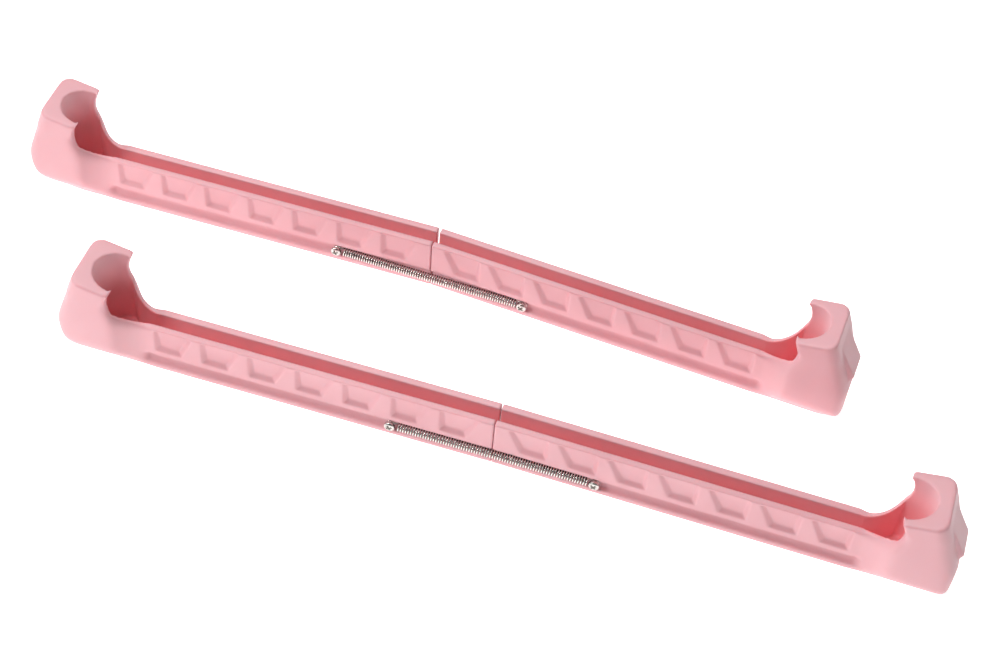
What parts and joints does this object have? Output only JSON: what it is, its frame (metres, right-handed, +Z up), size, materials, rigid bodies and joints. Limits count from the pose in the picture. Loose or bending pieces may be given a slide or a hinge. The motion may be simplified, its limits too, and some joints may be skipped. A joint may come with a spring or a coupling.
{
  "type": "pair of adjustable ice skate blade guards",
  "caption": "Pair of hard plastic blade guards for figure skates: slotted halves butt together, held by side springs hooked on screws, with cups at toe and heel.",
  "frame": {"origin": "centre of the pair's outline, on the surface that the soles rest on", "axes": "+X from the toe ends to the heel ends, +Y from the front guard to the rear guard, +Z up"},
  "size_m": [0.3646, 0.0976, 0.0446],
  "materials": {
    "pink_plastic": "satin",
    "spring_wire": "satin",
    "screw_steel": "polished"
  },
  "bodies": {
    "front_toe": {"front_toe_half": "pink_plastic", "front_near_toe_screw": "screw_steel", "front_far_toe_screw": "screw_steel"},
    "front_near_coil": {"front_near_spring": "spring_wire"},
    "front_far_coil": {"front_far_spring": "spring_wire"},
    "front_heel": {"front_heel_half": "pink_plastic", "front_near_heel_screw": "screw_steel", "front_far_heel_screw": "screw_steel"},
    "rear_toe": {"rear_toe_half": "pink_plastic", "rear_near_toe_screw": "screw_steel", "rear_far_toe_screw": "screw_steel"},
    "rear_near_coil": {"rear_near_spring": "spring_wire"},
    "rear_far_coil": {"rear_far_spring": "spring_wire"},
    "rear_heel": {"rear_heel_half": "pink_plastic", "rear_near_heel_screw": "screw_steel", "rear_far_heel_screw": "screw_steel"}
  },
  "joints": [
    {"name": "front_toe_pull", "type": "slide", "parent": "front_toe", "child": "front_near_coil", "axis": [1, 0, 0], "range_m": [0, 0.015], "stiffness_N_per_m": 2106, "springref_m": -0.005, "deforming": ["front_near_spring"]},
    {"name": "front_bend", "type": "hinge", "parent": "front_near_coil", "child": "front_far_coil", "pos_m": [0.02267, -0.0395, 0.007], "axis": [0, 0, -1], "range_deg": [-1, 29], "stiffness_Nm_per_rad": 0.1},
    {"name": "front_heel_pull", "type": "slide", "parent": "front_far_coil", "child": "front_heel", "axis": [0.9998, -0.0175, 0], "range_m": [0, 0.015], "stiffness_N_per_m": 2106, "springref_m": -0.005, "deforming": ["front_far_spring"]},
    {"name": "rear_toe_pull", "type": "slide", "parent": "rear_toe", "child": "rear_near_coil", "axis": [1, 0, 0], "range_m": [0, 0.015], "stiffness_N_per_m": 2106, "springref_m": -0.005, "deforming": ["rear_near_spring"]},
    {"name": "rear_bend", "type": "hinge", "parent": "rear_near_coil", "child": "rear_far_coil", "pos_m": [-0.02333, 0.032, 0.007], "axis": [0, 0, -1], "range_deg": [-4.5, 10], "stiffness_Nm_per_rad": 0.1},
    {"name": "rear_heel_pull", "type": "slide", "parent": "rear_far_coil", "child": "rear_heel", "axis": [0.9969, -0.0785, 0], "range_m": [0, 0.015], "stiffness_N_per_m": 2106, "springref_m": -0.005, "deforming": ["rear_far_spring"]},
    {"name": "rear_guard_lift", "type": "slide", "parent": "front_toe", "child": "rear_toe", "axis": [0, 0, 1], "range_m": [0, 0.1]}
  ],
  "couplings": [
    {"joint": "front_heel_pull", "follows": "front_toe_pull", "ratio": 1},
    {"joint": "rear_heel_pull", "follows": "rear_toe_pull", "ratio": 1}
  ]
}
